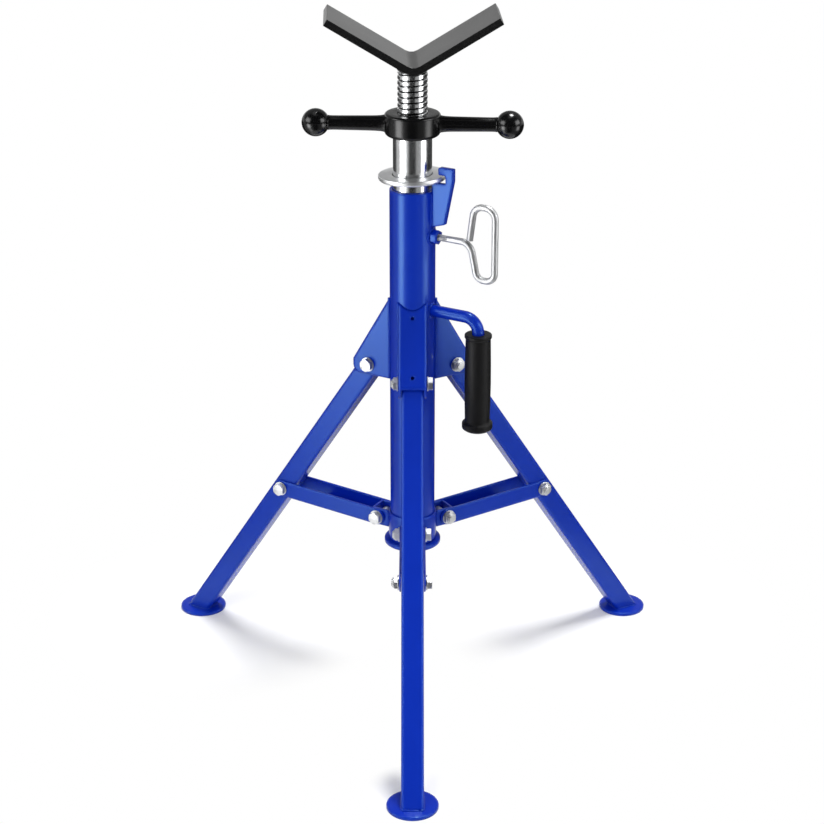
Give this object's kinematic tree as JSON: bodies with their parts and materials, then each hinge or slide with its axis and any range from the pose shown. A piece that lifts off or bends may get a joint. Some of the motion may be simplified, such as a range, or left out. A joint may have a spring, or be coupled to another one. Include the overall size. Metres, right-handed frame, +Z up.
{
  "type": "pipe jack stand",
  "caption": "Folding tripod stand with a telescoping tube, clutch ring, clamp screw, jack nut with ball arms and a V head that carries a pipe.",
  "frame": {"origin": "on the floor, under the middle of the stand's box; the column's axis is at x 0, y 0.075", "axes": "+Z up along the column; -Y towards the front leg; +X towards the side with the carry handle"},
  "size_m": [0.5746, 0.505, 0.7742],
  "materials": {
    "blue_paint": "gloss powder coat",
    "black_paint": "gloss black coat",
    "black_rubber": "matte moulded grip",
    "chrome": "bright plated tube",
    "zinc": "bright zinc plating",
    "brass": "turned bush"
  },
  "bodies": {
    "stand": {"column_tube": "blue_paint", "base_disc": "blue_paint", "hood_front": "blue_paint", "hood_right": "blue_paint", "hood_left": "blue_paint", "latch_plate": "blue_paint", "clamp_boss": "blue_paint", "handle_rod": "blue_paint", "handle_grip": "black_rubber", "pivot_bolt_front": "zinc", "pivot_bolt_right": "zinc", "pivot_bolt_left": "zinc", "pivot_nut_front": "zinc", "pivot_nut_right": "zinc", "pivot_nut_left": "zinc"},
    "collar": {"collar_sleeve": "blue_paint", "collar_lug_front": "blue_paint", "collar_lug_right": "blue_paint", "collar_lug_left": "blue_paint", "collar_bolt_front": "zinc", "collar_bolt_right": "zinc", "collar_bolt_left": "zinc", "collar_nut_front": "zinc", "collar_nut_right": "zinc", "collar_nut_left": "zinc"},
    "front_leg": {"leg_front": "blue_paint", "foot_front": "blue_paint"},
    "right_leg": {"leg_right": "blue_paint", "foot_right": "blue_paint"},
    "left_leg": {"leg_left": "blue_paint", "foot_left": "blue_paint"},
    "front_strut": {"strut_front": "blue_paint", "strut_end_bolt_front": "zinc", "strut_end_nut_front": "zinc"},
    "right_strut": {"strut_right": "blue_paint", "strut_end_bolt_right": "zinc", "strut_end_nut_right": "zinc"},
    "left_strut": {"strut_left": "blue_paint", "strut_end_bolt_left": "zinc", "strut_end_nut_left": "zinc"},
    "lift": {"guide_bush": "brass"},
    "tube": {"inner_tube": "chrome"},
    "jack_nut": {"jack_nut_hub": "black_paint", "nut_arm_right": "black_paint", "nut_arm_left": "black_paint", "arm_ball_right": "black_paint", "arm_ball_left": "black_paint"},
    "jack_head": {"jack_screw": "zinc", "v_head": "black_paint"},
    "clutch": {"clutch_ring": "zinc"},
    "clamp": {"clamp_screw": "zinc"}
  },
  "joints": [
    {"name": "collar_lift", "type": "slide", "parent": "stand", "child": "collar", "axis": [0, 0, 1], "range_m": [0, 0.096]},
    {"name": "front_leg_fold", "type": "hinge", "parent": "stand", "child": "front_leg", "pos_m": [0, 0.0265, 0.3762], "axis": [1, 0, 0], "range_deg": [0, 26.05]},
    {"name": "right_leg_fold", "type": "hinge", "parent": "stand", "child": "right_leg", "pos_m": [0.042, 0.09925, 0.3762], "axis": [-0.5, 0.866, 0], "range_deg": [0, 26.05]},
    {"name": "left_leg_fold", "type": "hinge", "parent": "stand", "child": "left_leg", "pos_m": [-0.042, 0.09925, 0.3762], "axis": [-0.5, -0.866, 0], "range_deg": [0, 26.05]},
    {"name": "front_strut_swing", "type": "hinge", "parent": "collar", "child": "front_strut", "pos_m": [0, 0.0356, 0.1897], "axis": [1, 0, 0], "range_deg": [0, 75.23]},
    {"name": "right_strut_swing", "type": "hinge", "parent": "collar", "child": "right_strut", "pos_m": [0.03412, 0.0947, 0.1897], "axis": [-0.5, 0.866, 0], "range_deg": [0, 75.23]},
    {"name": "left_strut_swing", "type": "hinge", "parent": "collar", "child": "left_strut", "pos_m": [-0.03412, 0.0947, 0.1897], "axis": [-0.5, -0.866, 0], "range_deg": [0, 75.23]},
    {"name": "tube_lift", "type": "slide", "parent": "stand", "child": "lift", "axis": [0, 0, 1], "range_m": [-0.033, 0.29]},
    {"name": "tube_swivel", "type": "hinge", "parent": "lift", "child": "tube", "pos_m": [0, 0.075, 0.43], "axis": [0, 0, 1], "continuous": true},
    {"name": "nut_spin", "type": "hinge", "parent": "tube", "child": "jack_nut", "pos_m": [0, 0.075, 0.6543], "axis": [0, 0, -1], "range_deg": [-2520, 8400]},
    {"name": "screw_lift", "type": "slide", "parent": "tube", "child": "jack_head", "axis": [0, 0, 1], "range_m": [-0.0421, 0.1401]},
    {"name": "clutch_tilt", "type": "hinge", "parent": "stand", "child": "clutch", "pos_m": [0.03291, 0.056, 0.5977], "axis": [0.5, 0.866, 0], "range_deg": [-2, 4]},
    {"name": "clamp_turn", "type": "hinge", "parent": "stand", "child": "clamp", "pos_m": [0, 0.075, 0.5328], "axis": [0.866, -0.5, 0], "range_deg": [0, 720]}
  ],
  "couplings": [
    {"joint": "front_leg_fold", "follows": "collar_lift", "rad_per_m": 4.7337},
    {"joint": "right_leg_fold", "follows": "collar_lift", "rad_per_m": 4.7337},
    {"joint": "left_leg_fold", "follows": "collar_lift", "rad_per_m": 4.7337},
    {"joint": "front_strut_swing", "follows": "collar_lift", "rad_per_m": 13.671},
    {"joint": "right_strut_swing", "follows": "collar_lift", "rad_per_m": 13.671},
    {"joint": "left_strut_swing", "follows": "collar_lift", "rad_per_m": 13.671},
    {"joint": "screw_lift", "follows": "nut_spin", "m_per_rad": 0.00095493}
  ]
}
